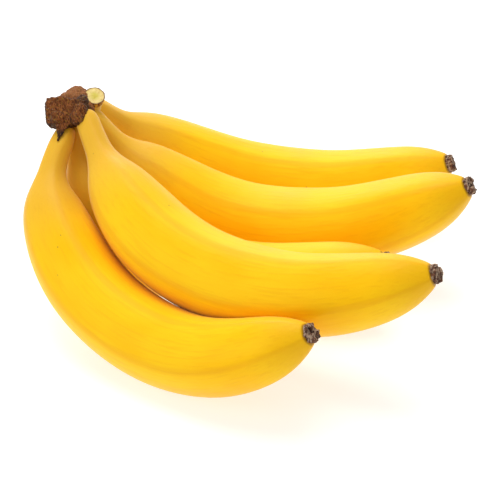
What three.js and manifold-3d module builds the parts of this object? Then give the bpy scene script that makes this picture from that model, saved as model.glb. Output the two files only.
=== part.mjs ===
// A bunch of five ripe bananas, cut from its hand and lying on its bellies.
//
// Millimetres, +Z up, +X towards the tips and +Y towards the back. The fingers hang
// from one woody crown, spread sideways, turn down and curl up again to their tips.
// The lower ones carry the bunch on the flats that its weight presses into them, and
// the front one lies on top of its neighbours. The origin is on the ground, under the middle of the bunch.

import * as THREE from 'three';
import { mergeVertices } from 'three/addons/utils/BufferGeometryUtils.js';
import Module from 'manifold-3d';

const wasm = await Module();
wasm.setup();

// ---- driving dimensions ----

const FINGER_LENGTH = 201; // along the middle line, from the crown to the blossom end
const FINGER_RADIUS = 19.4; // at the thickest part
const RIDGE_HEIGHT = 0.7; // of the five soft ridges, above the mean surface
const NECK_LENGTH = 31; // of the narrow stalk, up to the middle of the shoulder
const NECK_RADIUS = 5.6;
const TIP_RADIUS = 5.2; // of the small flat where the flower was
const BLOSSOM_END_LENGTH = 3.5;
const BLOSSOM_END_RADIUS = 4.8;
const CROWN_LUMP_RADIUS = 9; // of a lump of the crown, before its own stretch
const STUB_LENGTH = 11; // of the stalk that is left of a finger that was cut off
const STUB_RADIUS = 4.6;
const CROWN_HEIGHT = 82; // of the middle of the crown, above the ground
const REST_FLAT_DEPTH = 0.9; // how far a belly is pressed flat on the ground
const LIE_PRESS_VOLUME = 250; // of skin that gives way where a finger lies on another, mm3
const LEAN_PRESS_VOLUME = 520; // and where it leans against another, mm3
const CONTACT_GAP = 0.3; // clearance between pieces that touch

// ---- the fingers ----

// start: of the middle line, from the middle of the crown.
// root: length of the stalk that runs on from the start, back into the crown.
// heading, dip: the way it leaves the crown, from +X and below the horizon.
// liesOn: what its weight brings it down on, by a change of its dip.
// leansOn: the neighbour that it leans against, by a change of its heading.
// lean: which way it curls at the neck and along the body, about its middle line.
// turns: how far it turns in the neck, along the body and towards the tip.
// ridge: where the first of its five ridges stands, about its middle line.
// All angles are in degrees.

const FINGERS = [
  {
    name: 'finger_front_left',
    start: [-7.2, -15, -10],
    root: 9,
    heading: -117.9,
    dip: 36.5,
    liesOn: 'ground',
    lean: [114, 68.4],
    turns: [40, 42, 43],
    ridge: 56,
    length: FINGER_LENGTH,
    radius: FINGER_RADIUS - 0.7,
    neck: NECK_LENGTH - 0.6,
  },
  {
    name: 'finger_front',
    start: [4, -10.5, -0.5],
    root: 4,
    heading: -66.5,
    dip: 34,
    liesOn: 'finger_hidden',
    leansOn: 'finger_front_left',
    lean: [65, 50],
    turns: [10.5, 39, 28.5],
    ridge: 17,
    length: FINGER_LENGTH + 4,
    radius: FINGER_RADIUS + 0.2,
    neck: NECK_LENGTH + 4,
  },
  {
    name: 'finger_middle',
    start: [5, 4, -8],
    root: 6,
    heading: -3,
    dip: 55.5,
    lean: [-22, -4.5],
    turns: [17, 44.5, 27],
    ridge: 61,
    length: FINGER_LENGTH + 2,
    radius: FINGER_RADIUS + 0.4,
    neck: NECK_LENGTH + 2,
  },
  {
    name: 'finger_back',
    start: [6.5, 21.4, -12.9],
    root: 13,
    heading: 47,
    dip: 45,
    liesOn: 'ground',
    lean: [-88.3, -48.5],
    turns: [26.4, 36.7, 31.8],
    ridge: 1,
    length: FINGER_LENGTH - 6,
    radius: FINGER_RADIUS - 1,
    neck: NECK_LENGTH + 2.3,
  },
  {
    name: 'finger_hidden',
    start: [-1.5, -5, -8],
    root: 6,
    heading: -75.5,
    dip: 70,
    liesOn: 'ground',
    lean: [57, 63],
    turns: [32, 46.5, 24],
    ridge: 20,
    length: FINGER_LENGTH - 18,
    radius: FINGER_RADIUS - 1.5,
    neck: NECK_LENGTH - 6,
  },
];

// Where a finger turns, as shares of its length: middle and reach of each turn.
const TURNS = [
  { middle: 0.1, reach: 0.18 },
  { middle: 0.38, reach: 0.3 },
  { middle: 0.72, reach: 0.3 },
];

// Where its lean changes from that of the neck to that of the body.
const LEAN_CHANGES = [0.05, 0.45];

// ---- the crown and the cut stalk ----

// Lumps of the crown: place from its middle, and stretch of CROWN_LUMP_RADIUS.
const CROWN_LUMPS = [
  { place: [-3.7, -10, 2], stretch: [1.18, 0.95, 0.78] }, // over the front fingers
  { place: [0.3, 8, -2.6], stretch: [0.82, 1, 0.7] }, // over the back fingers
  { place: [-1, -1, -2.5], stretch: [0.95, 1.1, 0.75] }, // between them
  { place: [3, 14.5, -6], stretch: [0.6, 0.55, 0.5] }, // round the root of the last finger
  { place: [-5.2, -14.5, -6.5], stretch: [0.36, 0.25, 0.75] }, // dry skin on a neck
];

const LUMP_SQUARENESS = 2.8; // 2 is round, more is squarer

const STUB_TOP = [9, 6, 1.5]; // from the middle of the crown
const STUB_DIRECTION = new THREE.Vector3(0.15, -0.4, 0.9).normalize();

const GROUND = -CROWN_HEIGHT; // below the middle of the crown

// ---- how finely the skin is drawn ----

const LINE_STEPS = 60; // of a finger's middle line
const STEPS_PER_RING = 3;
const RIDGES = 5;
const SIDES = 4 * RIDGES; // round a finger
const LUMP_DETAIL = 5; // subdivisions of a crown lump
const SETTLING_PASSES = 3; // of a finger that both leans and lies on others
const SETTLING_REACH = 12; // most degrees that a finger turns to settle
const SETTLING_PRECISION = 0.01; // degrees

// ---- solids and meshes ----

function solidFrom(geometry) {
  const bare = geometry.clone();
  bare.deleteAttribute('normal');
  bare.deleteAttribute('uv');
  const merged = mergeVertices(bare);
  const vertProperties = new Float32Array(merged.attributes.position.array);
  const triVerts = new Uint32Array(merged.index.array);
  return new wasm.Manifold(new wasm.Mesh({ numProp: 3, vertProperties, triVerts }));
}

function meshFrom(solid, name, material) {
  const { vertProperties, triVerts } = solid.getMesh();
  const geometry = new THREE.BufferGeometry();
  geometry.setAttribute('position', new THREE.BufferAttribute(vertProperties, 3));
  geometry.setIndex(new THREE.BufferAttribute(triVerts, 1));
  geometry.computeVertexNormals();
  const mesh = new THREE.Mesh(geometry, material);
  mesh.name = name;
  return mesh;
}

// A closed skin over rings of points, each ring going round the same way, with a
// flat fan over each end.
function loft(rings) {
  const sides = rings[0].points.length;
  const positions = [];
  const index = [];
  for (const ring of rings) {
    for (const point of ring.points) positions.push(...point.toArray());
  }
  for (let i = 0; i + 1 < rings.length; i += 1) {
    for (let j = 0; j < sides; j += 1) {
      const here = i * sides + j;
      const beside = i * sides + ((j + 1) % sides);
      index.push(here, beside, here + sides, beside, beside + sides, here + sides);
    }
  }
  const last = (rings.length - 1) * sides;
  const startMiddle = positions.length / 3;
  positions.push(...rings[0].middle.toArray(), ...rings.at(-1).middle.toArray());
  for (let j = 0; j < sides; j += 1) {
    const next = (j + 1) % sides;
    index.push(next, j, startMiddle, last + j, last + next, startMiddle + 1);
  }
  const geometry = new THREE.BufferGeometry();
  geometry.setAttribute('position', new THREE.Float32BufferAttribute(positions, 3));
  geometry.setIndex(index);
  return geometry;
}

// One ring about a place on a middle line; radiusAt gives the radius at an angle.
function ringAt(place, sides, radiusAt) {
  const points = [];
  for (let j = 0; j < sides; j += 1) {
    const angle = (2 * Math.PI * j) / sides;
    const outward = place.across.clone().multiplyScalar(Math.cos(angle));
    outward.addScaledVector(place.up, Math.sin(angle));
    points.push(place.point.clone().addScaledVector(outward, radiusAt(angle)));
  }
  return { middle: place.point, points };
}

// ---- a finger ----

// A smooth hump, 1 at the middle of a turn and 0 beyond its reach.
function hump(share, { middle, reach }) {
  return THREE.MathUtils.smoothstep(reach - Math.abs(share - middle), 0, reach);
}

// The middle line: places with a point and the three directions along, across and up
// of it, which turn with the line and don't twist about it.
function middleLine(finger) {
  const heading = THREE.MathUtils.degToRad(finger.heading);
  const dip = THREE.MathUtils.degToRad(finger.dip);
  const level = new THREE.Vector3(Math.cos(heading), Math.sin(heading), 0);
  const along = level.clone().multiplyScalar(Math.cos(dip));
  along.z = -Math.sin(dip);
  const across = new THREE.Vector3(-level.y, level.x, 0);
  const up = along.clone().cross(across);
  const point = new THREE.Vector3(...finger.start);
  const step = finger.length / LINE_STEPS;

  const shares = Array.from({ length: LINE_STEPS }, (_, k) => (k + 0.5) / LINE_STEPS);
  const totals = TURNS.map((turn) => shares.reduce((sum, s) => sum + hump(s, turn), 0));

  const places = [{ point: point.clone(), along: along.clone(), across: across.clone(), up: up.clone() }];
  for (const share of shares) {
    const changed = THREE.MathUtils.clamp(THREE.MathUtils.inverseLerp(...LEAN_CHANGES, share), 0, 1);
    const lean = THREE.MathUtils.degToRad(THREE.MathUtils.lerp(...finger.lean, changed));
    const curl = up.clone().multiplyScalar(Math.cos(lean));
    curl.addScaledVector(across, Math.sin(lean));
    const axis = along.clone().cross(curl);
    const degrees = finger.turns.reduce(
      (sum, turn, i) => sum + (turn * hump(share, TURNS[i])) / totals[i], 0);
    const angle = THREE.MathUtils.degToRad(degrees);
    point.addScaledVector(along.clone().applyAxisAngle(axis, angle / 2), step);
    for (const direction of [along, across, up]) direction.applyAxisAngle(axis, angle);
    places.push({ point: point.clone(), along: along.clone(), across: across.clone(), up: up.clone() });
  }
  return places;
}

// Radius against length: a slim neck, a shoulder, a full body and a tapered tip.
function radiusProfile(finger) {
  const neck = finger.neck / finger.length;
  const full = 0.45;
  const shoulder = (share) => THREE.MathUtils.lerp(neck, full, share);
  const outline = [
    [0, NECK_RADIUS],
    [0.3 * neck, NECK_RADIUS + 0.3],
    [0.6 * neck, NECK_RADIUS + 1.4],
    [neck, 0.7 * finger.radius],
    [shoulder(0.3), 0.9 * finger.radius],
    [shoulder(0.6), 0.98 * finger.radius],
    [full, finger.radius],
    [0.57, finger.radius],
    [0.68, 0.96 * finger.radius],
    [0.8, 0.9 * finger.radius],
    [0.9, 0.75 * finger.radius],
    [0.96, 0.53 * finger.radius],
    [1, TIP_RADIUS],
  ];
  const shares = outline.map(([share]) => share);
  const radii = outline.map(([, radius]) => radius);
  const curve = new THREE.CubicInterpolant(shares, radii, 1);
  return (share) => curve.evaluate(share)[0];
}

// The solid of a finger, grown all over by a clearance if one is given.
function fingerSolid(finger, clearance = 0) {
  const places = middleLine(finger);
  const profile = radiusProfile(finger);
  const firstRidge = THREE.MathUtils.degToRad(finger.ridge);
  const section = (radius) => (angle) => {
    const turned = RIDGES * (angle - firstRidge);
    const ridges = Math.cos(turned) + 0.25 * Math.cos(2 * turned);
    return radius + clearance + (RIDGE_HEIGHT * ridges * radius) / finger.radius;
  };
  const rings = [];
  const start = places[0];
  const rootEnd = { ...start, point: start.point.clone().addScaledVector(start.along, -finger.root) };
  rings.push(ringAt(rootEnd, SIDES, section(0.7 * NECK_RADIUS)));
  for (let k = 0; k <= LINE_STEPS; k += STEPS_PER_RING) {
    rings.push(ringAt(places[k], SIDES, section(profile(k / LINE_STEPS))));
  }
  return solidFrom(loft(rings));
}

// Turns a finger about its start, by its dip or its heading, until it just bears.
function settle(finger, turn, sense, bears) {
  let clear = finger[turn] - SETTLING_REACH * sense;
  let pressed = finger[turn] + SETTLING_REACH * sense;
  while (Math.abs(pressed - clear) > SETTLING_PRECISION) {
    finger[turn] = (clear + pressed) / 2;
    if (bears(fingerSolid(finger))) pressed = finger[turn];
    else clear = finger[turn];
  }
}

// The dry remains of the flower: a ragged button on the tip.
function blossomEndSolid(finger) {
  const tip = middleLine(finger).at(-1);
  const outline = [
    [0, 0.86],
    [0.3, 1],
    [0.75, 0.94],
    [1, 0.7],
  ];
  const rings = outline.map(([share, swell]) => {
    const offset = CONTACT_GAP + share * BLOSSOM_END_LENGTH;
    const place = { ...tip, point: tip.point.clone().addScaledVector(tip.along, offset) };
    const ragged = (angle) => 1 + 0.07 * Math.sin(3 * angle + 4 * share) + 0.05 * Math.sin(7 * angle);
    return ringAt(place, SIDES, (angle) => BLOSSOM_END_RADIUS * swell * ragged(angle));
  });
  return solidFrom(loft(rings));
}

// ---- the crown and the cut stalk ----

// A squarish lump with a rough skin, grown all over by a clearance if one is given.
function lumpSolid({ place, stretch }, clearance = 0) {
  const geometry = new THREE.IcosahedronGeometry(1, LUMP_DETAIL);
  const position = geometry.attributes.position;
  const radii = new THREE.Vector3(...stretch).multiplyScalar(CROWN_LUMP_RADIUS);
  radii.addScalar(clearance);
  const point = new THREE.Vector3();
  for (let i = 0; i < position.count; i += 1) {
    point.fromBufferAttribute(position, i).normalize();
    const { x, y, z } = point;
    const span = [x, y, z].reduce((sum, part) => sum + Math.abs(part) ** LUMP_SQUARENESS, 0);
    const dents = 0.035 * Math.sin(7 * x + 3 * y) * Math.cos(6 * z - 4 * y);
    const rough = 1 + dents + 0.02 * Math.sin(13 * y + 9 * x);
    point.multiplyScalar(rough / span ** (1 / LUMP_SQUARENESS)).multiply(radii);
    position.setXYZ(i, point.x + place[0], point.y + place[1], point.z + place[2]);
  }
  return solidFrom(geometry);
}

function crownSolid(clearance = 0) {
  return wasm.Manifold.union(CROWN_LUMPS.map((lump) => lumpSolid(lump, clearance)));
}

function stubSolid() {
  const up = STUB_DIRECTION.clone().cross(new THREE.Vector3(1, 0, 0)).normalize();
  const across = up.clone().cross(STUB_DIRECTION);
  const top = new THREE.Vector3(...STUB_TOP);
  const rings = [0, 0.5, 1].map((share) => {
    const point = top.clone().addScaledVector(STUB_DIRECTION, (share - 1) * STUB_LENGTH);
    const swell = 1 - 0.06 * Math.sin(Math.PI * share);
    const place = { point, across, up };
    return ringAt(place, SIDES, (angle) => STUB_RADIUS * swell * (1 + 0.05 * Math.sin(3 * angle)));
  });
  return solidFrom(loft(rings));
}

// ---- the bunch ----

const peel = () => new THREE.MeshStandardMaterial({ color: '#f6c928', roughness: 0.45 });
const bark = () => new THREE.MeshStandardMaterial({ color: '#6b4430', roughness: 0.9 });
const cutFlesh = () => new THREE.MeshStandardMaterial({ color: '#ead98a', roughness: 0.7 });
const driedFlower = () => new THREE.MeshStandardMaterial({ color: '#3b2a20', roughness: 0.95 });

const fingerCalled = (wanted) => FINGERS.find(({ name }) => name === wanted);
for (const finger of FINGERS.filter(({ liesOn }) => liesOn === 'ground')) {
  settle(finger, 'dip', 1, (solid) => solid.boundingBox().min[2] < GROUND - REST_FLAT_DEPTH);
}
for (const finger of FINGERS.filter(({ leansOn }) => leansOn !== undefined)) {
  const bed = fingerSolid(fingerCalled(finger.liesOn));
  const side = fingerSolid(fingerCalled(finger.leansOn));
  for (let pass = 0; pass < SETTLING_PASSES; pass += 1) {
    settle(finger, 'heading', -1, (solid) => solid.intersect(side).volume() > LEAN_PRESS_VOLUME);
    settle(finger, 'dip', 1, (solid) => solid.intersect(bed).volume() > LIE_PRESS_VOLUME);
  }
}
const wholeFingers = FINGERS.map((finger) => fingerSolid(finger));

// Each finger gives way to the crown and to the fingers listed before it, and the
// ground presses its belly flat.
const crownClearance = crownSolid(CONTACT_GAP);
const grownFingers = FINGERS.map((finger) => fingerSolid(finger, CONTACT_GAP));
const restingFingers = wholeFingers.map((whole, i) => {
  const neighbours = [crownClearance, ...grownFingers.slice(0, i)];
  const pressed = neighbours.reduce((solid, neighbour) => solid.subtract(neighbour), whole);
  return pressed.trimByPlane([0, 0, 1], GROUND);
});

const bunch = new THREE.Group();
bunch.add(meshFrom(crownSolid(), 'crown', bark()));
const stub = [crownClearance, ...grownFingers].reduce((solid, piece) => solid.subtract(piece), stubSolid());
bunch.add(meshFrom(stub, 'cut_stalk', cutFlesh()));
FINGERS.forEach((finger, i) => {
  bunch.add(meshFrom(restingFingers[i], finger.name, peel()));
  bunch.add(meshFrom(blossomEndSolid(finger), `${finger.name}_blossom_end`, driedFlower()));
});

const box = new THREE.Box3().setFromObject(bunch);
const middle = box.getCenter(new THREE.Vector3());
bunch.position.set(-middle.x, -middle.y, -GROUND);

const group = new THREE.Group();
group.add(bunch);

export default group;
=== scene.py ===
"""A bunch of ripe bananas: fingers bent from straight blanks, a fibrous crown, a cut stalk and the dried
flowers on the tips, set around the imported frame. Metres, +X towards the tips, +Z up."""

import math

import bpy
from mathutils import Matrix, Quaternion, Vector
from mathutils.bvhtree import BVHTree


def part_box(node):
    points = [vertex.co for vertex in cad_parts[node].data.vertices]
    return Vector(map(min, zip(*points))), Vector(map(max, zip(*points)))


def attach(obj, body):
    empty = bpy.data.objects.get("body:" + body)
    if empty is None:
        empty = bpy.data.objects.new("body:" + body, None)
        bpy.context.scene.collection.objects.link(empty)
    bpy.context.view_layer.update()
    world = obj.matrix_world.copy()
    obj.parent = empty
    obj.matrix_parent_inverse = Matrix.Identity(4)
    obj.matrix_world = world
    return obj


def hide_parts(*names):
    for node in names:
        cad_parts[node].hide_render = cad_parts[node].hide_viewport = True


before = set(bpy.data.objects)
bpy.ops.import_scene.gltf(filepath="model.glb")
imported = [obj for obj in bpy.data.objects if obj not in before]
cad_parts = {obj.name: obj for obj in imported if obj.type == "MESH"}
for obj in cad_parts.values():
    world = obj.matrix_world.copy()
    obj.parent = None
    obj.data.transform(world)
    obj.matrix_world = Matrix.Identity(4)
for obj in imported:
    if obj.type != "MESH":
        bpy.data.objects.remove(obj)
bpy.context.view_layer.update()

MM = 0.001
GROUND = 0.0

# ---- camera, light and floor ----

CAMERA_TARGET = Vector((-0.0010, -0.0009, 0.0300))
CAMERA_RISE = math.radians(33)
CAMERA_DISTANCE = 0.9
CAMERA_LENS = 140.9
SENSOR = 36.0

WORLD_STRENGTH = 0.5
SOFTBOXES = [  # name, place, width and power
    ("softbox_above", (-0.15, 0.25, 1.3), 0.9, 11),
    ("softbox_behind", (-0.2, 1.3, 0.75), 1.0, 9),
    ("softbox_left", (-1.1, -0.5, 0.7), 0.8, 3),
]
FLOOR_SIZE = 8
FLOOR_GREY = 0.55
FLOOR_ROUGHNESS = 0.9
FLOOR_GLOW = 0.62  # keeps the paper white and the shadows pale


def add_camera():
    data = bpy.data.cameras.new("camera")
    data.lens = CAMERA_LENS
    data.sensor_width = SENSOR
    camera = bpy.data.objects.new("camera", data)
    back = Vector((0, -math.cos(CAMERA_RISE), math.sin(CAMERA_RISE)))
    camera.location = CAMERA_TARGET + CAMERA_DISTANCE * back
    camera.rotation_euler = back.to_track_quat("Z", "Y").to_euler()
    bpy.context.collection.objects.link(camera)
    bpy.context.scene.camera = camera


def add_softbox(name, place, width, power):
    data = bpy.data.lights.new(name, "AREA")
    data.shape = "DISK"
    data.size = width
    data.energy = power
    light = bpy.data.objects.new(name, data)
    light.location = place
    light.rotation_euler = (Vector(place) - CAMERA_TARGET).to_track_quat("Z", "Y").to_euler()
    bpy.context.collection.objects.link(light)


def add_studio():
    world = bpy.data.worlds.new("studio")
    world.use_nodes = True
    background = world.node_tree.nodes["Background"]
    background.inputs["Color"].default_value = (1, 1, 1, 1)
    background.inputs["Strength"].default_value = WORLD_STRENGTH
    bpy.context.scene.world = world
    bpy.context.scene.view_settings.view_transform = "Standard"
    for softbox in SOFTBOXES:
        add_softbox(*softbox)

    bpy.ops.mesh.primitive_plane_add(size=FLOOR_SIZE, location=(0, 0, GROUND))
    floor = bpy.context.active_object
    floor.name = "floor"
    paper = bpy.data.materials.new("white_paper_sweep")
    paper.use_nodes = True
    shader = paper.node_tree.nodes["Principled BSDF"]
    shader.inputs["Base Color"].default_value = (FLOOR_GREY, FLOOR_GREY, FLOOR_GREY, 1)
    shader.inputs["Roughness"].default_value = FLOOR_ROUGHNESS
    shader.inputs["Emission Color"].default_value = (1, 1, 1, 1)
    shader.inputs["Emission Strength"].default_value = FLOOR_GLOW
    floor.data.materials.append(paper)


# ---- the fingers' sizes, as in the frame ----

FINGER_LENGTH = 201 * MM
FINGER_RADIUS = 19.4 * MM
NECK_LENGTH = 31 * MM
NECK_RADIUS = 5.6 * MM
TIP_RADIUS = 5.2 * MM
BLOSSOM_END_LENGTH = 3.5 * MM
BLOSSOM_END_RADIUS = 4.3 * MM
CONTACT_GAP = 0.3 * MM

# start is from the middle of the crown; heading, dip, lean, turns and ridge are in degrees.
FINGERS = [
    dict(name="finger_front_left", start=(-7.2, -15, -10), root=9, heading=-117.9, dip=38.26,
         lean=(114, 68.4), turns=(40, 42, 43), ridge=56, length=FINGER_LENGTH,
         radius=FINGER_RADIUS - 0.7 * MM, neck=NECK_LENGTH - 0.6 * MM),
    dict(name="finger_front", start=(4, -10.5, -0.5), root=4, heading=-66.6, dip=33.83, lean=(65, 50),
         turns=(10.5, 39, 28.5), ridge=17, length=FINGER_LENGTH + 4 * MM,
         radius=FINGER_RADIUS + 0.2 * MM, neck=NECK_LENGTH + 4 * MM),
    dict(name="finger_middle", start=(5, 4, -8), root=6, heading=-3, dip=55.5, lean=(-22, -4.5),
         turns=(17, 44.5, 27), ridge=61, length=FINGER_LENGTH + 2 * MM,
         radius=FINGER_RADIUS + 0.4 * MM, neck=NECK_LENGTH + 2 * MM),
    dict(name="finger_back", start=(6.5, 21.4, -12.9), root=13, heading=47, dip=44.8, lean=(-88.3, -48.5),
         turns=(26.4, 36.7, 31.8), ridge=1, length=FINGER_LENGTH - 6 * MM,
         radius=FINGER_RADIUS - 1 * MM, neck=NECK_LENGTH + 2.3 * MM),
    dict(name="finger_hidden", start=(-1.5, -5, -8), root=6, heading=-75.5, dip=70.3, lean=(57, 63),
         turns=(32, 46.5, 24), ridge=20, length=FINGER_LENGTH - 18 * MM,
         radius=FINGER_RADIUS - 1.5 * MM, neck=NECK_LENGTH - 6 * MM),
]
TURNS = [(0.1, 0.18), (0.38, 0.3), (0.72, 0.3)]  # middle and reach of each turn, as shares of the length
LEAN_CHANGES = (0.05, 0.45)  # where the lean passes from the neck's to the body's
LINE_STEPS = 60

NECK_SWELLING = [(0, 0), (0.3, 0.3 * MM), (0.6, 1.4 * MM)]  # share of the neck, added to NECK_RADIUS
SHOULDER = [(0, 0.7), (0.3, 0.9), (0.6, 0.98), (1, 1)]  # share of the way to the full part, share of radius
FULL_FROM = 0.45  # share of the length where the finger is full
TAPER = [(0.57, 1), (0.68, 0.96), (0.8, 0.9), (0.9, 0.75), (0.96, 0.53)]  # share of the length and of radius

RIDGES = 5
RIDGE_SHARE = 0.036  # of the radius
RIDGE_SHARPNESS = 0.35  # narrows the crests and widens the flats between them
SIDES = 4 * RIDGES
RINGS = 34
ROOT_END_RADIUS = 0.7 * NECK_RADIUS  # of the end inside the crown
TIP_INSET = 0.25 * TIP_RADIUS  # keeps the rim of the tip's flat crisp
SKIN_LEVELS = 2
SKIN_GAP = 0.1 * MM  # between skins that touch
PRESS_REACH = 6 * MM  # how deep a point inside a neighbour is looked for


def lerp(a, b, share):
    return a + (b - a) * share


def smoothstep(low, high, value):
    share = min(max((value - low) / (high - low), 0), 1)
    return share * share * (3 - 2 * share)


def linear(hex_colour):
    """An sRGB hex colour as Blender's linear RGBA."""
    parts = [int(hex_colour[i:i + 2], 16) / 255 for i in (1, 3, 5)]
    return tuple(c / 12.92 if c <= 0.04045 else ((c + 0.055) / 1.055) ** 2.4 for c in parts) + (1,)


def select_only(piece):
    bpy.ops.object.select_all(action="DESELECT")
    piece.select_set(True)
    bpy.context.view_layer.objects.active = piece


def apply_modifier(piece, kind, **settings):
    select_only(piece)
    modifier = piece.modifiers.new(kind.lower(), kind)
    for key, value in settings.items():
        setattr(modifier, key, value)
    bpy.ops.object.modifier_apply(modifier=modifier.name)


def middle_line(finger):
    """Points of the finger's middle line, from the middle of the crown, and its end directions."""
    heading, dip = math.radians(finger["heading"]), math.radians(finger["dip"])
    level = Vector((math.cos(heading), math.sin(heading), 0))
    along = level * math.cos(dip) - Vector((0, 0, math.sin(dip)))
    across = Vector((-level.y, level.x, 0))
    up = along.cross(across)
    point = Vector(finger["start"]) * MM
    step = finger["length"] / LINE_STEPS
    shares = [(k + 0.5) / LINE_STEPS for k in range(LINE_STEPS)]
    humps = [[smoothstep(0, reach, reach - abs(s - middle)) for s in shares] for middle, reach in TURNS]
    places = [(point.copy(), along.copy(), across.copy(), up.copy())]
    for k, share in enumerate(shares):
        settled = (share - LEAN_CHANGES[0]) / (LEAN_CHANGES[1] - LEAN_CHANGES[0])
        lean = math.radians(lerp(*finger["lean"], min(max(settled, 0), 1)))
        curl = up * math.cos(lean) + across * math.sin(lean)
        turned = sum(turn * hump[k] / sum(hump) for turn, hump in zip(finger["turns"], humps))
        angle = math.radians(turned)
        axis = along.cross(curl)
        point = point + step * (Quaternion(axis, angle / 2) @ along)
        turn = Quaternion(axis, angle)
        along, across, up = turn @ along, turn @ across, turn @ up
        places.append((point.copy(), along.copy(), across.copy(), up.copy()))
    return places


def radius_profile(finger):
    """Radius against the share of the length: a slim neck, a shoulder, a full body, a tapered tip."""
    neck = finger["neck"] / finger["length"]
    radius = finger["radius"]
    outline = [(share * neck, NECK_RADIUS + swelling) for share, swelling in NECK_SWELLING]
    outline += [(lerp(neck, FULL_FROM, share), part * radius) for share, part in SHOULDER]
    outline += [(share, part * radius) for share, part in TAPER]
    outline.append((1, TIP_RADIUS))

    def slope(i):
        low, high = outline[max(i - 1, 0)], outline[min(i + 1, len(outline) - 1)]
        return (high[1] - low[1]) / (high[0] - low[0])

    def at(share):
        i = max(k for k in range(len(outline) - 1) if share >= outline[k][0] or k == 0)
        (s0, r0), (s1, r1) = outline[i], outline[i + 1]
        span = s1 - s0
        t = (share - s0) / span
        return ((2 * t**3 - 3 * t**2 + 1) * r0 + (t**3 - 2 * t**2 + t) * span * slope(i)
                + (3 * t**2 - 2 * t**3) * r1 + (t**3 - t**2) * span * slope(i + 1))

    return at


def node_middle(node):
    low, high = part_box(node)
    return (Vector(low) + Vector(high)) / 2


def find_crown_middle():
    """Where the middle of the crown is in the frame, from the places of the blossom ends."""
    total = Vector()
    for finger in FINGERS:
        point, along, _, _ = middle_line(finger)[-1]
        end_middle = point + along * (CONTACT_GAP + BLOSSOM_END_LENGTH / 2)
        total += node_middle(f"{finger['name']}_blossom_end") - end_middle
    return total / len(FINGERS)


CROWN_MIDDLE = find_crown_middle()


# ---- fingers ----


def bending_curve(finger):
    """The middle line as a curve object for the Curve modifier."""
    places = middle_line(finger)
    curve = bpy.data.curves.new(f"{finger['name']}_line", "CURVE")
    curve.dimensions = "3D"
    curve.twist_mode = "MINIMUM"
    curve.use_deform_bounds = False
    spline = curve.splines.new("POLY")
    spline.points.add(len(places) - 1)
    for spline_point, (point, _, _, _) in zip(spline.points, places):
        spline_point.co = (*(point + CROWN_MIDDLE), 1)
    line = bpy.data.objects.new(curve.name, curve)
    bpy.context.collection.objects.link(line)
    return line


def bend(piece, finger):
    """Bends a straight piece that lies along +X onto the finger's middle line."""
    line = bending_curve(finger)
    apply_modifier(piece, "CURVE", object=line, deform_axis="POS_X")
    bpy.data.objects.remove(line)


def remember(piece, name, kind, worth):
    """Keeps a value for each point, for the patterns of its material."""
    attribute = piece.data.attributes.new(name, kind, "POINT")
    field = "vector" if kind == "FLOAT_VECTOR" else "value"
    for vertex, value in zip(piece.data.vertices, attribute.data):
        setattr(value, field, worth(vertex))


def model_finger(finger):
    """A finger: a five-sided disc drawn out ring by ring into a straight blank, smoothed and bent."""
    bpy.ops.object.select_all(action="DESELECT")
    root = finger["root"] * MM
    profile = radius_profile(finger)
    bpy.ops.mesh.primitive_circle_add(vertices=SIDES, radius=ROOT_END_RADIUS, fill_type="NGON",
                                      location=(-root, 0, 0), rotation=(0, math.pi / 2, 0))
    piece = bpy.context.active_object
    piece.name = f"{finger['name']}_skin"
    bpy.ops.object.transform_apply(location=True, rotation=True, scale=True)
    middle = Vector((-root, 0, 0))
    for vertex in piece.data.vertices:
        spoke = vertex.co - middle
        angle = math.atan2(spoke.z, spoke.y) - math.radians(finger["ridge"])
        ridges = math.cos(RIDGES * angle) + RIDGE_SHARPNESS * math.cos(2 * RIDGES * angle)
        vertex.co = middle + spoke * (1 + RIDGE_SHARE * ridges)

    bpy.ops.object.mode_set(mode="EDIT")
    bpy.ops.mesh.select_all(action="SELECT")
    x, radius = -root, ROOT_END_RADIUS
    stations = [(0, NECK_RADIUS)]
    for k in range(1, RINGS + 1):
        share = k / RINGS
        stations.append((share * finger["length"], profile(share)))
    for next_x, next_radius in stations:
        bpy.ops.mesh.extrude_region_move(TRANSFORM_OT_translate={"value": (next_x - x, 0, 0)})
        scale = next_radius / radius
        bpy.ops.transform.resize(value=(1, scale, scale), center_override=(next_x, 0, 0))
        x, radius = next_x, next_radius
    bpy.ops.mesh.inset(thickness=TIP_INSET)
    bpy.ops.mesh.select_all(action="SELECT")
    bpy.ops.mesh.normals_make_consistent(inside=False)
    bpy.ops.object.mode_set(mode="OBJECT")

    apply_modifier(piece, "SUBSURF", levels=SKIN_LEVELS, render_levels=SKIN_LEVELS)
    remember(piece, "blank", "FLOAT_VECTOR", lambda vertex: vertex.co)
    remember(piece, "from_tip", "FLOAT", lambda vertex: finger["length"] - vertex.co.x)
    remember(piece, "ridge", "FLOAT", lambda vertex: math.cos(
        RIDGES * (math.atan2(vertex.co.z, vertex.co.y) - math.radians(finger["ridge"]))))
    bend(piece, finger)
    return piece


def press_on_ground(piece):
    """Flattens what reaches below the ground."""
    select_only(piece)
    bpy.ops.object.mode_set(mode="EDIT")
    bpy.ops.mesh.select_all(action="DESELECT")
    bpy.ops.object.mode_set(mode="OBJECT")
    for vertex in piece.data.vertices:
        vertex.select = vertex.co.z < GROUND
    bpy.ops.object.mode_set(mode="EDIT")
    bpy.ops.transform.resize(value=(1, 1, 0), center_override=(0, 0, GROUND))
    bpy.ops.object.mode_set(mode="OBJECT")


def press_against(piece, neighbour):
    """Moves the points that lie inside a neighbour out to its skin."""
    tree = BVHTree.FromObject(neighbour, bpy.context.evaluated_depsgraph_get())
    for vertex in piece.data.vertices:
        place, normal, _, _ = tree.find_nearest(vertex.co, PRESS_REACH)
        if place and (vertex.co - place).dot(normal) < SKIN_GAP:
            vertex.co = place + normal * SKIN_GAP


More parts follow.
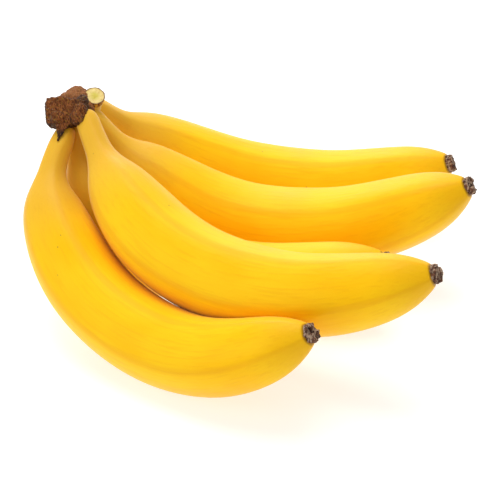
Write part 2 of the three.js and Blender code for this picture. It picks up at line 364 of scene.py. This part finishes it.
# ---- the crown, the cut stalk and the dried flowers ----

# Places are from the middle of the crown. Numbers are in mm, except where they are multiplied by MM.
# The block's outline is drawn level and tilted afterwards.
BLOCK_OUTLINE = [
    (-15.2, -1.0), (-14.2, 1.4), (-10.4, 2.0), (-8.1, 2.4), (-2.1, 1.2), (2.3, 2.2), (4.4, 1.2), (4.8, -1.2),
    (3.4, -4.1), (3.9, -6.8), (2.0, -7.6), (0.2, -9.8), (-2.5, -12.0), (-5.8, -13.2), (-10.0, -12.0),
    (-13.0, -11.8), (-14.4, -9.8), (-14.9, -5.1),
]
BLOCK_MIDDLE = (-5, -5)
BLOCK_RINGS = [  # height and share of the outline
    (-3, 0.6), (1.5, 0.9), (4.5, 1), (8.2, 1), (9.5, 0.93), (9.9, 0.8),
]
BLOCK_TILT = math.radians(42.85)
BLOCK_OUTWARDS = Vector((0, -math.sin(BLOCK_TILT), math.cos(BLOCK_TILT)))
KNOB = ((2.3, -5.6, 5.6), (3.0, 3.4, 3.1))
LUMPS = [  # middle and half-widths
    ((0.6, -13.4, 1.6), (3.8, 3.6, 4)),
    ((2.2, -11.2, 4.1), (3.2, 3.4, 3.3)),
    ((-1.6, 7, -1.8), (6.4, 9.5, 7.2)),
    ((-5.2, 1.5, 1.2), (4.6, 6, 5)),
    ((-1, -1, -2.5), (8.2, 9.5, 6.5)),
    ((2.8, 14.2, -5.8), (5.4, 5, 4.6)),
    KNOB,
    ((-9, -12.6, 1.2), (3.8, 3.2, 3.2)),
]
LUMP_SUBDIVISIONS = 4
FLAP_BASE = Vector((-6.2, -13.2, 1.4))
FLAP_TIP = Vector((-8.7, -20.6, -7.2))
FLAP_SIDES = 10
FLAP_WIDTH = 4.2
FLAP_THICKNESS = 1.0
FLAP_POINT = 0.15  # radius of its point
CROWN_GRAIN = 0.42 * MM  # of the mesh that the parts are grown into
CROWN_LUMPINESS = dict(size=4.5 * MM, depth=1.0 * MM)
CROWN_CRUMBS = dict(size=1.1 * MM, depth=1.1 * MM)
CROWN_SMOOTHING = dict(factor=0.5, iterations=4)

# Where the dry bark has turned black: on faces turned away from the block's front, ahead of the crown's
# middle, round the knob, and on the flap, which is ahead of the crown and below it.
CHAR_FACING = (0.35, 0.85)
CHAR_AHEAD = (1, 4)
CHAR_KNOB = (2.5, 4.6)
CHAR_FLAP_AHEAD = (12.5, 14.5)
CHAR_FLAP_BELOW = (1.5, 3.5)
LOBE_BEHIND = (-3, 2)  # where the paler lobe at the back begins

STALK_TOP = Vector((6.9, 6.3, 2.5))
STALK_DIRECTION = Vector((0.15, -0.4, 0.9))
STALK_RINGS = [  # height and radius: the wall, the dry rim and the face sunk inside it
    (-11, 3.6), (-7, 4.1), (-4, 4.5), (-1.6, 4.9), (-0.4, 5.1),
    (0, 5.0), (-0.1, 4.7), (-0.3, 4.5), (-0.3, 1.5),
]
STALK_SIDES = 14
STALK_LEVELS = 3
STALK_WAVES = dict(size=3 * MM, depth=0.7 * MM)

FLOWER_SIDES = 12
FLOWER_GAP = 0.05 * MM
FLOWER_BASE = 0.4 * BLOSSOM_END_LENGTH  # height of the disc that the stumps stand on
FLOWER_LEVELS = 3
FLOWER_CRUMPLE = dict(size=1.3 * MM, depth=1.3 * MM)
FLOWER_SMOOTHING = dict(factor=0.5, iterations=2)
STUMP_NARROWING = 0.9
SELECT_SLACK = 0.1 * FLOWER_BASE
FACES_UP = 0.9  # least share of a normal along the finger, for a face on top of the disc
# The heights of the torn stumps round each dried flower, in mm.
FLOWER_STUMPS = {
    "finger_front_left": (1.6, 0.4, 1.9, 0.9, 1.5, 0.2),
    "finger_front": (0.7, 1.8, 1.1, 0.3, 1.5, 1.9),
    "finger_middle": (1.5, 0.8, 0.4, 1.6, 1.2, 0.6),
    "finger_back": (0.4, 0.6, 1.9, 2.0, 1.6, 0.5),
    "finger_hidden": (1.2, 0.5, 1.6, 0.8, 0.4, 1.4),
}


def crown_place(offset):
    return CROWN_MIDDLE + Vector(offset) * MM


def roughen(piece, name, size, depth, **settings):
    """Pushes the surface in and out by clouds of a real size."""
    clouds = bpy.data.textures.new(name, "CLOUDS")
    clouds.noise_scale = size
    apply_modifier(piece, "DISPLACE", texture=clouds, strength=depth, **settings)


def add_crown_block():
    """The broad torn face at the front: its outline drawn out of a disc and thickened ring by ring."""
    bpy.ops.object.select_all(action="DESELECT")
    bpy.ops.mesh.primitive_circle_add(vertices=len(BLOCK_OUTLINE), radius=1, fill_type="NGON")
    block = bpy.context.active_object
    height, share = BLOCK_RINGS[0]
    middle = Vector((*BLOCK_MIDDLE, 0))
    for vertex, place in zip(block.data.vertices, BLOCK_OUTLINE):
        vertex.co = (middle + share * (Vector((*place, 0)) - middle) + Vector((0, 0, height))) * MM
    bpy.ops.object.mode_set(mode="EDIT")
    bpy.ops.mesh.select_all(action="SELECT")
    for next_height, next_share in BLOCK_RINGS[1:]:
        rise = (next_height - height) * MM
        bpy.ops.mesh.extrude_region_move(TRANSFORM_OT_translate={"value": (0, 0, rise)})
        scale = next_share / share
        bpy.ops.transform.resize(value=(scale, scale, 1), center_override=middle * MM)
        height, share = next_height, next_share
    bpy.ops.mesh.select_all(action="SELECT")
    bpy.ops.mesh.normals_make_consistent(inside=False)
    bpy.ops.object.mode_set(mode="OBJECT")
    block.rotation_euler = (BLOCK_TILT, 0, 0)
    block.location = CROWN_MIDDLE
    return block


def add_dry_flap():
    """A flap of dried skin hanging over the first neck, pointed and thin."""
    run = FLAP_TIP - FLAP_BASE
    bpy.ops.mesh.primitive_cone_add(vertices=FLAP_SIDES, radius1=FLAP_WIDTH * MM, radius2=FLAP_POINT * MM,
                                    depth=run.length * MM, location=crown_place((FLAP_BASE + FLAP_TIP) / 2))
    flap = bpy.context.active_object
    flap.scale = (1, FLAP_THICKNESS / FLAP_WIDTH, 1)
    sideways = Vector((1, 0, 0))
    outwards = run.cross(sideways).normalized()
    turned = Matrix((outwards.cross(run).normalized(), outwards, run.normalized())).transposed()
    flap.rotation_euler = turned.to_euler()
    return flap


def model_crown():
    """The crown: block, lumps and flap grown into one, then roughened."""
    parts = [add_crown_block(), add_dry_flap()]
    for place, stretch in LUMPS:
        bpy.ops.mesh.primitive_ico_sphere_add(subdivisions=LUMP_SUBDIVISIONS, radius=1,
                                              location=crown_place(place), scale=Vector(stretch) * MM)
        parts.append(bpy.context.active_object)
    select_only(parts[0])
    for part in parts:
        part.select_set(True)
    bpy.ops.object.join()
    crown = bpy.context.active_object
    crown.name = "crown_bark"
    bpy.ops.object.transform_apply(location=True, rotation=True, scale=True)
    apply_modifier(crown, "REMESH", mode="VOXEL", voxel_size=CROWN_GRAIN)
    apply_modifier(crown, "SMOOTH", **CROWN_SMOOTHING)
    roughen(crown, "crown_lumps", **CROWN_LUMPINESS)
    roughen(crown, "crown_crumbs", **CROWN_CRUMBS)

    def char(vertex):
        """1 on the dried dark edges of the block, on its knob and on the flap, 0 elsewhere."""
        place = (vertex.co - CROWN_MIDDLE) / MM
        edge = 1 - smoothstep(*CHAR_FACING, vertex.normal.dot(BLOCK_OUTWARDS))
        edge *= smoothstep(*CHAR_AHEAD, -place.y)
        knob = 1 - smoothstep(*CHAR_KNOB, (place - Vector(KNOB[0])).length)
        flap = smoothstep(*CHAR_FLAP_AHEAD, -place.y) * smoothstep(*CHAR_FLAP_BELOW, -place.z)
        return max(edge, knob, flap)

    def lobe(vertex):
        """1 on the paler lobe at the back."""
        return smoothstep(*LOBE_BEHIND, (vertex.co - CROWN_MIDDLE).y / MM)

    remember(crown, "char", "FLOAT", char)
    remember(crown, "lobe", "FLOAT", lobe)
    return crown


def model_cut_stalk():
    """The cut stub: rings drawn up from a disc, the cut face sunk a little inside its dry rim."""
    bpy.ops.object.select_all(action="DESELECT")
    height, radius = STALK_RINGS[0]
    bpy.ops.mesh.primitive_circle_add(vertices=STALK_SIDES, radius=radius * MM, fill_type="NGON",
                                      location=(0, 0, height * MM))
    stalk = bpy.context.active_object
    stalk.name = "cut_stalk_stub"
    bpy.ops.object.transform_apply(location=True, rotation=False, scale=False)
    bpy.ops.object.mode_set(mode="EDIT")
    bpy.ops.mesh.select_all(action="SELECT")
    for next_height, next_radius in STALK_RINGS[1:]:
        rise = (next_height - height) * MM
        bpy.ops.mesh.extrude_region_move(TRANSFORM_OT_translate={"value": (0, 0, rise)})
        scale = next_radius / radius
        bpy.ops.transform.resize(value=(scale, scale, 1), center_override=(0, 0, next_height * MM))
        height, radius = next_height, next_radius
    bpy.ops.mesh.select_all(action="SELECT")
    bpy.ops.mesh.normals_make_consistent(inside=False)
    bpy.ops.object.mode_set(mode="OBJECT")
    apply_modifier(stalk, "SUBSURF", levels=STALK_LEVELS, render_levels=STALK_LEVELS)
    remember(stalk, "blank", "FLOAT_VECTOR", lambda vertex: vertex.co)
    roughen(stalk, "stalk_waves", **STALK_WAVES)
    stalk.rotation_euler = STALK_DIRECTION.to_track_quat("Z", "Y").to_euler()
    stalk.location = crown_place(STALK_TOP)
    bpy.ops.object.transform_apply(location=True, rotation=True, scale=False)
    return stalk


def model_blossom_end(finger):
    """The dried flower: a low disc with torn stumps of uneven height, crumpled."""
    bpy.ops.object.select_all(action="DESELECT")
    bpy.ops.mesh.primitive_circle_add(vertices=FLOWER_SIDES, radius=BLOSSOM_END_RADIUS, fill_type="TRIFAN",
                                      rotation=(0, math.pi / 2, 0))
    flower = bpy.context.active_object
    flower.name = f"{finger['name']}_dried_flower"
    bpy.ops.object.transform_apply(location=False, rotation=True, scale=False)
    bpy.ops.object.mode_set(mode="EDIT")
    bpy.ops.mesh.select_all(action="SELECT")
    bpy.ops.mesh.extrude_region_move(TRANSFORM_OT_translate={"value": (FLOWER_BASE, 0, 0)})
    bpy.ops.mesh.select_all(action="SELECT")
    bpy.ops.mesh.normals_make_consistent(inside=False)
    stumps = FLOWER_STUMPS[finger["name"]]
    bpy.ops.mesh.select_mode(type="FACE")
    for k, height in enumerate(stumps):
        bpy.ops.mesh.select_all(action="DESELECT")
        bpy.ops.object.mode_set(mode="OBJECT")
        for face in flower.data.polygons:
            turn = math.atan2(face.center.z, face.center.y) % (2 * math.pi)
            sector = int(turn / (2 * math.pi) * len(stumps))
            on_top = face.center.x > FLOWER_BASE - SELECT_SLACK and face.normal.x > FACES_UP
            face.select = on_top and sector == k
        bpy.ops.object.mode_set(mode="EDIT")
        bpy.ops.mesh.extrude_region_move(TRANSFORM_OT_translate={"value": (height * MM, 0, 0)})
        bpy.ops.transform.resize(value=(1, STUMP_NARROWING, STUMP_NARROWING))
    bpy.ops.object.mode_set(mode="OBJECT")
    apply_modifier(flower, "SUBSURF", subdivision_type="SIMPLE", levels=FLOWER_LEVELS,
                   render_levels=FLOWER_LEVELS)
    apply_modifier(flower, "SMOOTH", **FLOWER_SMOOTHING)
    roughen(flower, "flower_crumple", texture_coords="GLOBAL", **FLOWER_CRUMPLE)
    point, along, across, up = middle_line(finger)[-1]
    seat = Matrix((along, across, up)).transposed().to_4x4()
    seat.translation = CROWN_MIDDLE + point + along * FLOWER_GAP
    flower.matrix_world = seat
    select_only(flower)
    bpy.ops.object.transform_apply(location=True, rotation=True, scale=False)
    return flower


# ---- materials ----

# Colours are sRGB.
PEEL = "#FFC204"
PEEL_BRIGHT = "#FFCC10"
PEEL_FIBRE = "#F0AC06"
PEEL_RIDGE = "#EFA407"
NECK_OCHRE = "#D8A63A"
TIP_OCHRE = "#E2AE14"
TIP_SCAR = "#8A5A1C"
PEEL_SPECK = "#8C6A32"
BARK_DARK = "#45200C"
BARK_LIGHT = "#A05E2E"
BARK_PATCH = "#6C3A18"
BARK_LOBE = "#B57A4C"
BARK_CHAR = "#27160E"
BARK_GREY = "#B79A80"
# Yellow-ochre flecks on the bark are painted glints of light.
BARK_GLINT = "#A8802C"
FLESH_GREEN = "#D6C440"
FLESH_PALE = "#EBD180"
FLESH_STAIN = "#D09A3C"
WALL_BROWN = "#6A4020"
WALL_YELLOW = "#D7A63E"
WALL_FOOT = "#E0A820"
RIM_DARK = "#54301A"
RIM_LIGHT = "#9A6A3A"
CRUST_DARK = "#2E160C"
CRUST_BROWN = "#6E452E"
CRUST_DUST = "#B59A80"

# Sizes of the patterns.
CLOUDING_SIZE = 22 * MM
FIBRE_WIDTH = 1.2 * MM  # real fibres are finer; they are drawn coarser so that they show
FIBRE_STRETCH = (18, 1, 1)
PORE_SIZE = 2.5 * MM
PEEL_STRETCH = (2, 1, 1)  # of its clouding and pores
SPECK_SPACING = 9 * MM
SPECK_GROUPS = 30 * MM
BARK_FIBRE = 0.6 * MM
BARK_FIBRE_STRETCH = (1, 2.5, 3)
BARK_FIBRE_LEAN = math.radians(20)
BARK_PATCH_SIZE = 3 * MM
BARK_FLECK_SIZE = 0.8 * MM
BARK_GLINT_SIZE = 0.9 * MM
FLESH_MOTTLE = 1.1 * MM
WALL_DROP = 0.7 * MM
WALL_DROP_STRETCH = (1, 1, 7)
CRUST_CRUMPLE = 1.5 * MM
CRUST_FLECK_SIZE = 1.2 * MM
FLECK_STRETCH = (1, 1, 2)

# Where one part of a finish passes into the next.
NECK_FADE = (20 * MM, 60 * MM)  # along the finger, from the crown
TIP_FADE = (3 * MM, 26 * MM)  # from the blossom end
SCAR_FADE = (0.1 * MM, 0.7 * MM)
GREEN_FADE = (0.6 * MM, 3.6 * MM)  # from the middle of the cut face
DAMP_FADE = (3 * MM, 4 * MM)
RIM_FADE = (4.2 * MM, 4.6 * MM)
WALL_FOOT_FADE = (-6 * MM, -2 * MM)  # below the cut face
WALL_RIM_FADE = (-0.9 * MM, -0.3 * MM)


def add_node(tree, kind, settings=None, **inputs):
    """Adds a node. Inputs are values or sockets to link from, by name or, as i0, i1 and so on, by place."""
    node = tree.nodes.new(kind)
    for key, value in (settings or {}).items():
        setattr(node, key, value)
    for key, value in inputs.items():
        by_place = key[0] == "i" and key[1:].isdigit()
        socket = node.inputs[int(key[1:]) if by_place else key.replace("_", " ")]
        if isinstance(value, bpy.types.NodeSocket):
            tree.links.new(value, socket)
        else:
            socket.default_value = value
    return node


def new_material(name):
    material = bpy.data.materials.new(name)
    material.use_nodes = True
    tree = material.node_tree
    return material, tree, tree.nodes["Principled BSDF"]


def read_attribute(tree, name):
    return add_node(tree, "ShaderNodeAttribute", {"attribute_name": name})


def ramp(tree, value, low, high, out_low=0, out_high=1):
    """A soft step of a value from out_low at low to out_high at high."""
    node = add_node(tree, "ShaderNodeMapRange", {"interpolation_type": "SMOOTHSTEP"}, Value=value,
                    i1=low, i2=high, i3=out_low, i4=out_high)
    return node.outputs["Result"]


def noise(tree, place, size, stretch=(1, 1, 1), detail=3, roughness=0.55):
    """Noise with features of a real size, drawn out along the axes by stretch."""
    mapping = add_node(tree, "ShaderNodeMapping", Vector=place, Scale=tuple(1 / (size * s) for s in stretch))
    node = add_node(tree, "ShaderNodeTexNoise", Vector=mapping.outputs["Vector"], Scale=1, Detail=detail,
                    Roughness=roughness)
    return node.outputs["Fac"]


def mix_colour(tree, share, first, second):
    """Mixes two colours, each a hex string or a socket."""
    colours = [linear(c) if isinstance(c, str) else c for c in (first, second)]
    node = add_node(tree, "ShaderNodeMix", {"data_type": "RGBA"}, i0=share, i6=colours[0], i7=colours[1])
    return node.outputs[2]


def calculate(tree, operation, first, second):
    node = add_node(tree, "ShaderNodeMath", {"operation": operation}, i0=first, i1=second)
    return node.outputs["Value"]


def bump(tree, shader, height, distance):
    node = add_node(tree, "ShaderNodeBump", Height=height, Distance=distance, Strength=1.0)
    tree.links.new(node.outputs["Normal"], shader.inputs["Normal"])


def ripe_banana_peel():
    """Ripe banana peel: smooth, waxy and half matte, so the light spreads wide and pale over its top."""
    material, tree, shader = new_material("ripe_banana_peel")
    blank = read_attribute(tree, "blank").outputs["Vector"]
    from_tip = read_attribute(tree, "from_tip").outputs["Fac"]
    on_ridge = read_attribute(tree, "ridge").outputs["Fac"]
    along = add_node(tree, "ShaderNodeSeparateXYZ", Vector=blank).outputs["X"]

    clouding = noise(tree, blank, CLOUDING_SIZE, PEEL_STRETCH, detail=2)
    colour = mix_colour(tree, ramp(tree, clouding, 0.35, 0.7), PEEL, PEEL_BRIGHT)
    fibres = noise(tree, blank, FIBRE_WIDTH, FIBRE_STRETCH, detail=4)
    colour = mix_colour(tree, ramp(tree, fibres, 0.48, 0.7, out_high=0.3), colour, PEEL_FIBRE)
    ridge_line = ramp(tree, on_ridge, 0.8, 1, out_high=0.3)
    colour = mix_colour(tree, ridge_line, colour, PEEL_RIDGE)
    neck = ramp(tree, along, *NECK_FADE, out_low=0.7, out_high=0)
    colour = mix_colour(tree, neck, colour, NECK_OCHRE)
    tip = ramp(tree, from_tip, *TIP_FADE, out_low=0.5, out_high=0)
    colour = mix_colour(tree, tip, colour, TIP_OCHRE)
    scar = ramp(tree, from_tip, *SCAR_FADE, out_low=0.6, out_high=0)
    colour = mix_colour(tree, scar, colour, TIP_SCAR)

    cells = add_node(tree, "ShaderNodeTexVoronoi", Vector=blank, Scale=1 / SPECK_SPACING)
    dots = ramp(tree, cells.outputs["Distance"], 0.03, 0.055, out_low=0.7, out_high=0)
    grouped = ramp(tree, noise(tree, blank, SPECK_GROUPS), 0.52, 0.62)
    colour = mix_colour(tree, calculate(tree, "MULTIPLY", dots, grouped), colour, PEEL_SPECK)
    tree.links.new(colour, shader.inputs["Base Color"])

    shader.inputs["IOR"].default_value = 1.45
    shader.inputs["Specular IOR Level"].default_value = 0.12
    shader.inputs["Sheen Weight"].default_value = 0.14
    shader.inputs["Sheen Roughness"].default_value = 0.4
    shader.inputs["Subsurface Weight"].default_value = 0.08
    shader.inputs["Subsurface Radius"].default_value = (1.0, 0.5, 0.1)
    shader.inputs["Subsurface Scale"].default_value = 1.5 * MM
    roughness = ramp(tree, clouding, 0.3, 0.7, out_low=0.38, out_high=0.5)
    tree.links.new(roughness, shader.inputs["Roughness"])
    fine = calculate(tree, "ADD", fibres, noise(tree, blank, PORE_SIZE, PEEL_STRETCH, detail=2))
    bump(tree, shader, fine, 0.12 * MM)
    return material


def dry_banana_bark():
    """Dry crown bark: fibrous and dull, black on its shrunken edges and redder at the back."""
    material, tree, shader = new_material("dry_crown_bark")
    place = add_node(tree, "ShaderNodeTexCoord").outputs["Object"]
    leaning = add_node(tree, "ShaderNodeMapping", Vector=place, Rotation=(0, BARK_FIBRE_LEAN, 0))
    leaning = leaning.outputs["Vector"]
    fibres = noise(tree, leaning, BARK_FIBRE, BARK_FIBRE_STRETCH, detail=6, roughness=0.7)
    patches = noise(tree, place, BARK_PATCH_SIZE, detail=3)
    char = read_attribute(tree, "char").outputs["Fac"]
    lobe = read_attribute(tree, "lobe").outputs["Fac"]
    colour = mix_colour(tree, ramp(tree, fibres, 0.38, 0.62), BARK_DARK, BARK_LIGHT)
    colour = mix_colour(tree, ramp(tree, patches, 0.4, 0.65, out_high=0.55), colour, BARK_PATCH)
    colour = mix_colour(tree, calculate(tree, "MULTIPLY", lobe, 0.4), colour, BARK_LOBE)
    # The blackening is real, and it is deepened by painted shade in the low pits of the fibres.
    pit_shade = ramp(tree, fibres, 0.35, 0.7, out_low=1, out_high=0.55)
    colour = mix_colour(tree, calculate(tree, "MULTIPLY", char, pit_shade), colour, BARK_CHAR)
    flecks = ramp(tree, noise(tree, place, BARK_FLECK_SIZE, detail=2), 0.64, 0.72, out_high=0.5)
    colour = mix_colour(tree, flecks, colour, BARK_GREY)
    # Painted glints: yellow-ochre flecks over the fibres, standing in for light caught on them.
    glints = noise(tree, leaning, BARK_GLINT_SIZE, FLECK_STRETCH, detail=4)
    colour = mix_colour(tree, ramp(tree, glints, 0.58, 0.66, out_high=0.55), colour, BARK_GLINT)
    tree.links.new(colour, shader.inputs["Base Color"])
    shader.inputs["Specular IOR Level"].default_value = 0.2
    roughness = ramp(tree, char, 0, 1, out_low=0.85, out_high=0.5)
    tree.links.new(roughness, shader.inputs["Roughness"])
    bump(tree, shader, calculate(tree, "ADD", fibres, patches), 0.9 * MM)
    return material


def cut_stalk_flesh():
    """Cut stalk: a moist pale face, greener in the middle, in a thin brown rim over streaked skin."""
    material, tree, shader = new_material("cut_stalk_flesh")
    blank = read_attribute(tree, "blank").outputs["Vector"]
    parts = add_node(tree, "ShaderNodeSeparateXYZ", Vector=blank).outputs
    level = add_node(tree, "ShaderNodeCombineXYZ", X=parts["X"], Y=parts["Y"], Z=0.0).outputs["Vector"]
    radius = add_node(tree, "ShaderNodeVectorMath", {"operation": "LENGTH"}, i0=level).outputs["Value"]
    mottle = noise(tree, blank, FLESH_MOTTLE, detail=4)
    face = mix_colour(tree, ramp(tree, radius, *GREEN_FADE), FLESH_GREEN, FLESH_PALE)
    face = mix_colour(tree, ramp(tree, mottle, 0.5, 0.7, out_high=0.5), face, FLESH_STAIN)
    drops = noise(tree, blank, WALL_DROP, WALL_DROP_STRETCH, detail=4)
    wall = mix_colour(tree, ramp(tree, drops, 0.4, 0.6), WALL_BROWN, WALL_YELLOW)
    foot = ramp(tree, parts["Z"], *WALL_FOOT_FADE, out_low=0.75, out_high=0)
    wall = mix_colour(tree, foot, wall, WALL_FOOT)
    rim = mix_colour(tree, ramp(tree, drops, 0.3, 0.7), RIM_DARK, RIM_LIGHT)
    side = mix_colour(tree, ramp(tree, parts["Z"], *WALL_RIM_FADE), wall, rim)
    colour = mix_colour(tree, ramp(tree, radius, *RIM_FADE), face, side)
    tree.links.new(colour, shader.inputs["Base Color"])
    roughness = ramp(tree, radius, *DAMP_FADE, out_low=0.4, out_high=0.7)
    tree.links.new(roughness, shader.inputs["Roughness"])
    bump(tree, shader, calculate(tree, "ADD", mottle, drops), 0.4 * MM)
    return material


def dried_flower_crust():
    """Dried flower: brittle dark brown crust with grey-beige dusty flecks."""
    material, tree, shader = new_material("dried_flower_crust")
    place = add_node(tree, "ShaderNodeTexCoord").outputs["Object"]
    crumple = noise(tree, place, CRUST_CRUMPLE, detail=5, roughness=0.65)
    colour = mix_colour(tree, ramp(tree, crumple, 0.38, 0.6), CRUST_DARK, CRUST_BROWN)
    dust = noise(tree, place, CRUST_FLECK_SIZE, FLECK_STRETCH, detail=4)
    colour = mix_colour(tree, ramp(tree, dust, 0.47, 0.57, out_high=0.8), colour, CRUST_DUST)
    tree.links.new(colour, shader.inputs["Base Color"])
    shader.inputs["Roughness"].default_value = 0.9
    bump(tree, shader, crumple, 0.6 * MM)
    return material


# ---- putting the bunch together ----


def stand_for(piece, node, material):
    """Ties a finished piece to the node of the frame that it stands in for."""
    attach(piece, "root")
    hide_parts(node)
    piece.data.materials.clear()
    piece.data.materials.append(material)
    select_only(piece)
    bpy.ops.object.shade_smooth()


add_camera()
add_studio()
peel = ripe_banana_peel()
bark = dry_banana_bark()
flesh = cut_stalk_flesh()
crust = dried_flower_crust()
skins = []
for finger in FINGERS:
    skin = model_finger(finger)
    for nearer in skins:
        press_against(skin, nearer)
    press_on_ground(skin)
    skins.append(skin)
    stand_for(skin, finger["name"], peel)
    bpy.context.view_layer.update()
    stand_for(model_blossom_end(finger), f"{finger['name']}_blossom_end", crust)
stand_for(model_crown(), "crown", bark)
stand_for(model_cut_stalk(), "cut_stalk", flesh)
